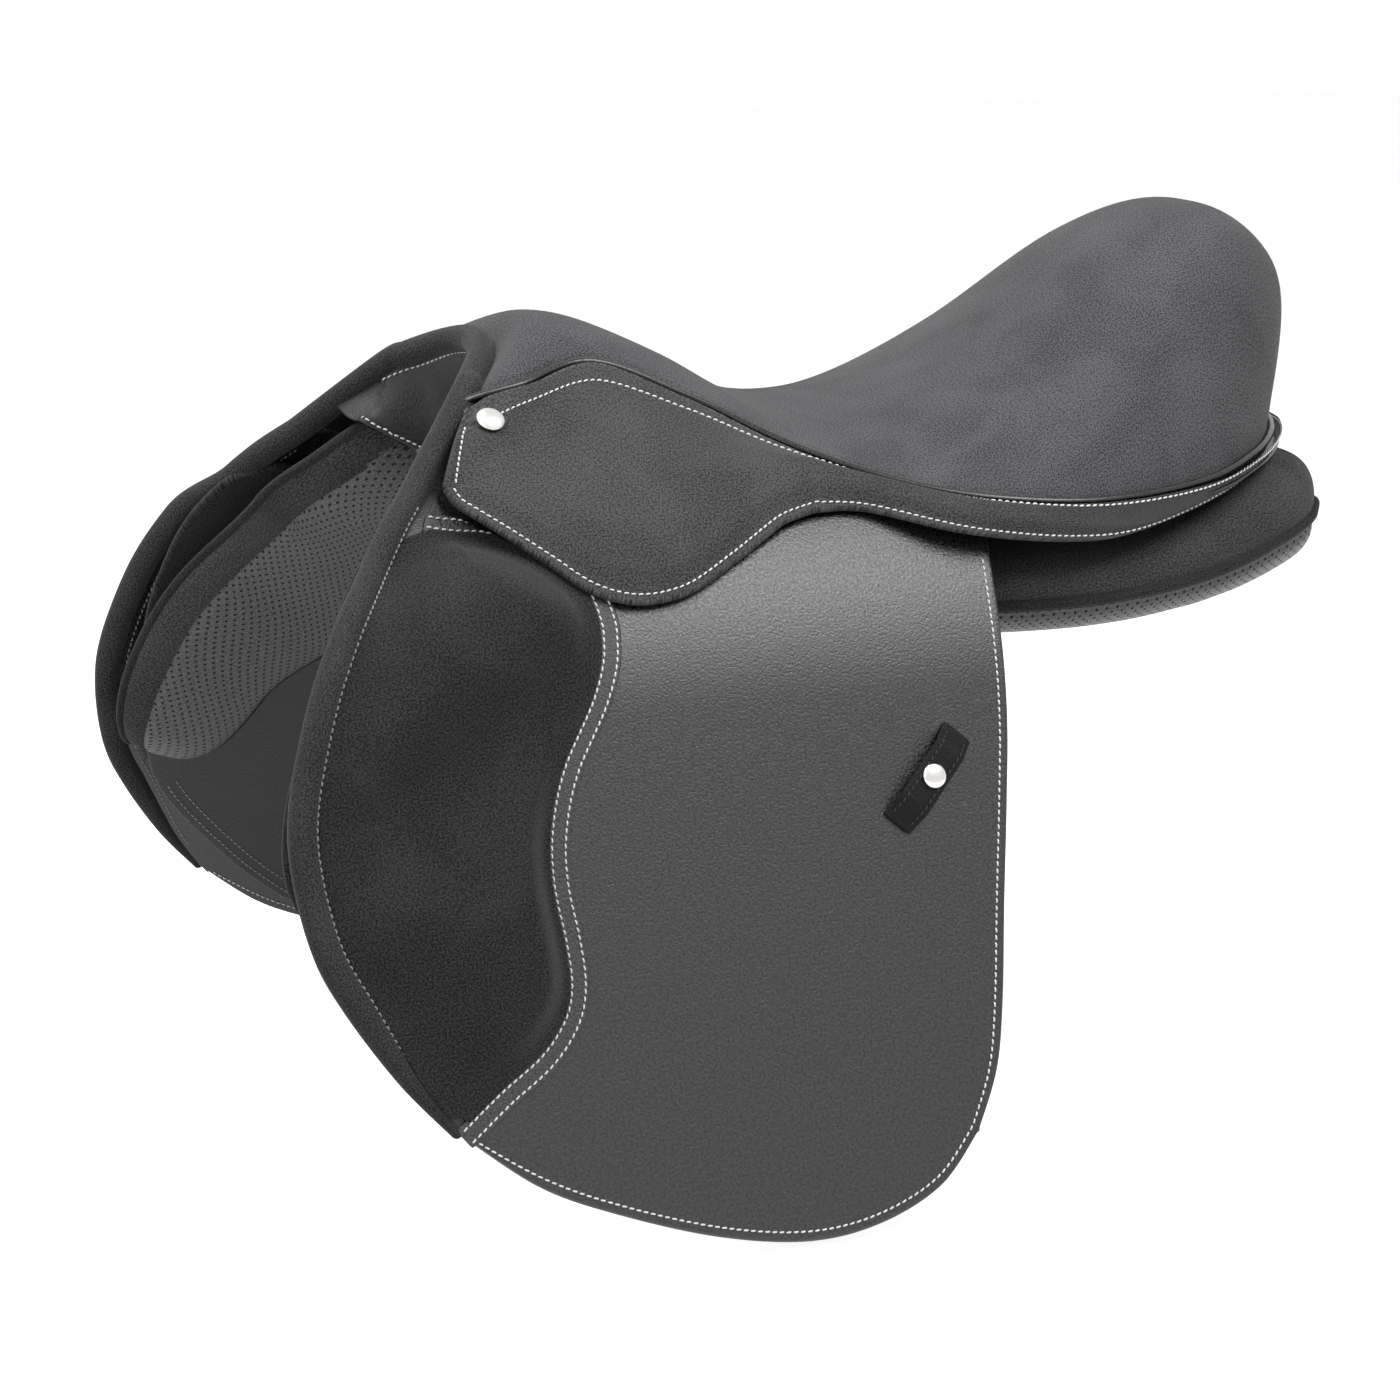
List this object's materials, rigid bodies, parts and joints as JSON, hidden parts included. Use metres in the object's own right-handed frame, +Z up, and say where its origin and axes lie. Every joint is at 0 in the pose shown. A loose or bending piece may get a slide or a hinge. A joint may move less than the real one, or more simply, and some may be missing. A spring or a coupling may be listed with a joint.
{
  "type": "jumping saddle",
  "caption": "Close-contact jumping saddle: deep suede-covered seat on a moulded tree, folding skirts and forward flaps with knee pads, stuffed panels, girth straps and stirrup bars.",
  "frame": {"origin": "on the centre plane, level with the panels' lowest bearing line", "axes": "+X to the rear, towards the cantle; +Y to the off side; +Z up"},
  "size_m": [0.5556, 0.4984, 0.416],
  "materials": {
    "seat_suede": "napped synthetic suede",
    "pad_suede": "dark napped synthetic suede",
    "flap_leather": "fine-grained satin synthetic leather",
    "piping": "smooth gloss piping",
    "strap_leather": "smooth satin strap",
    "panel_leather": "perforated grained synthetic leather",
    "polished_nickel": "polished nickel",
    "bar_steel": "forged and tumbled steel",
    "tree_plastic": "moulded",
    "webbing": "woven webbing",
    "foam": "open-cell foam under the cover"
  },
  "bodies": {
    "saddle": {"tree": "tree_plastic", "gullet_plate": "bar_steel", "gullet_screws": "bar_steel", "catch_pins": "bar_steel", "bar_rivets": "bar_steel", "seat_web": "webbing", "channel_lining": "panel_leather", "seat_foam": "foam", "seat_cover": "seat_suede", "seat_welt": "piping", "pommel_roll": "seat_suede", "gullet_cover": "flap_leather", "near_tree_point": "tree_plastic", "off_tree_point": "tree_plastic", "near_stirrup_bar": "bar_steel", "off_stirrup_bar": "bar_steel", "near_skirt_band": "seat_suede", "off_skirt_band": "seat_suede", "near_cantle_band": "seat_suede", "off_cantle_band": "seat_suede", "near_nail_head": "polished_nickel", "off_nail_head": "polished_nickel", "near_flap_top": "flap_leather", "off_flap_top": "flap_leather", "near_pad_top": "seat_suede", "off_pad_top": "seat_suede", "near_sweat_flap": "flap_leather", "off_sweat_flap": "flap_leather", "near_knee_block": "pad_suede", "off_knee_block": "pad_suede", "near_panel": "panel_leather", "off_panel": "panel_leather", "near_girth_web": "webbing", "off_girth_web": "webbing"},
    "near_flap": {"near_flap": "flap_leather", "near_knee_pad": "pad_suede", "near_flap_roll": "pad_suede", "near_flap_trim": "flap_leather", "near_keeper": "flap_leather", "near_keeper_stud": "polished_nickel"},
    "near_skirt": {"near_skirt": "seat_suede"},
    "near_thumb_catch": {"near_thumb_catch": "bar_steel"},
    "near_front_girth_strap": {"near_front_girth_strap": "strap_leather"},
    "near_rear_girth_strap": {"near_rear_girth_strap": "strap_leather"},
    "off_flap": {"off_flap": "flap_leather", "off_knee_pad": "pad_suede", "off_flap_roll": "pad_suede", "off_flap_trim": "flap_leather", "off_keeper": "flap_leather", "off_keeper_stud": "polished_nickel"},
    "off_skirt": {"off_skirt": "seat_suede"},
    "off_thumb_catch": {"off_thumb_catch": "bar_steel"},
    "off_front_girth_strap": {"off_front_girth_strap": "strap_leather"},
    "off_rear_girth_strap": {"off_rear_girth_strap": "strap_leather"}
  },
  "joints": [
    {"name": "near_flap_lift", "type": "hinge", "parent": "saddle", "child": "near_flap", "pos_m": [0, -0.1604, 0.03527], "axis": [-1, 0, 0], "range_deg": [0, 90]},
    {"name": "near_skirt_lift", "type": "hinge", "parent": "saddle", "child": "near_skirt", "pos_m": [0, -0.11495, 0.08803], "axis": [-1, 0, 0], "range_deg": [0, 70]},
    {"name": "near_thumb_catch_turn", "type": "hinge", "parent": "saddle", "child": "near_thumb_catch", "pos_m": [-0.0658, -0.1204, 0.06429], "axis": [0, 0.7101, -0.7041], "range_deg": [0, 75]},
    {"name": "near_front_strap_swing", "type": "hinge", "parent": "saddle", "child": "near_front_girth_strap", "pos_m": [-0.10956, -0.16671, -0.02028], "axis": [0, -0.9455, 0.3256], "range_deg": [-8, 8]},
    {"name": "near_rear_strap_swing", "type": "hinge", "parent": "saddle", "child": "near_rear_girth_strap", "pos_m": [-0.03455, -0.16671, -0.02028], "axis": [0, -0.9455, 0.3256], "range_deg": [-8, 8]},
    {"name": "off_flap_lift", "type": "hinge", "parent": "saddle", "child": "off_flap", "pos_m": [0, 0.1604, 0.03527], "axis": [1, 0, 0], "range_deg": [0, 90]},
    {"name": "off_skirt_lift", "type": "hinge", "parent": "saddle", "child": "off_skirt", "pos_m": [0, 0.11495, 0.08803], "axis": [1, 0, 0], "range_deg": [0, 70]},
    {"name": "off_thumb_catch_turn", "type": "hinge", "parent": "saddle", "child": "off_thumb_catch", "pos_m": [-0.0658, 0.1204, 0.06429], "axis": [0, 0.7101, 0.7041], "range_deg": [0, 75]},
    {"name": "off_front_strap_swing", "type": "hinge", "parent": "saddle", "child": "off_front_girth_strap", "pos_m": [-0.10956, 0.16671, -0.02028], "axis": [0, 0.9455, 0.3256], "range_deg": [-8, 8]},
    {"name": "off_rear_strap_swing", "type": "hinge", "parent": "saddle", "child": "off_rear_girth_strap", "pos_m": [-0.03455, 0.16671, -0.02028], "axis": [0, 0.9455, 0.3256], "range_deg": [-8, 8]}
  ]
}
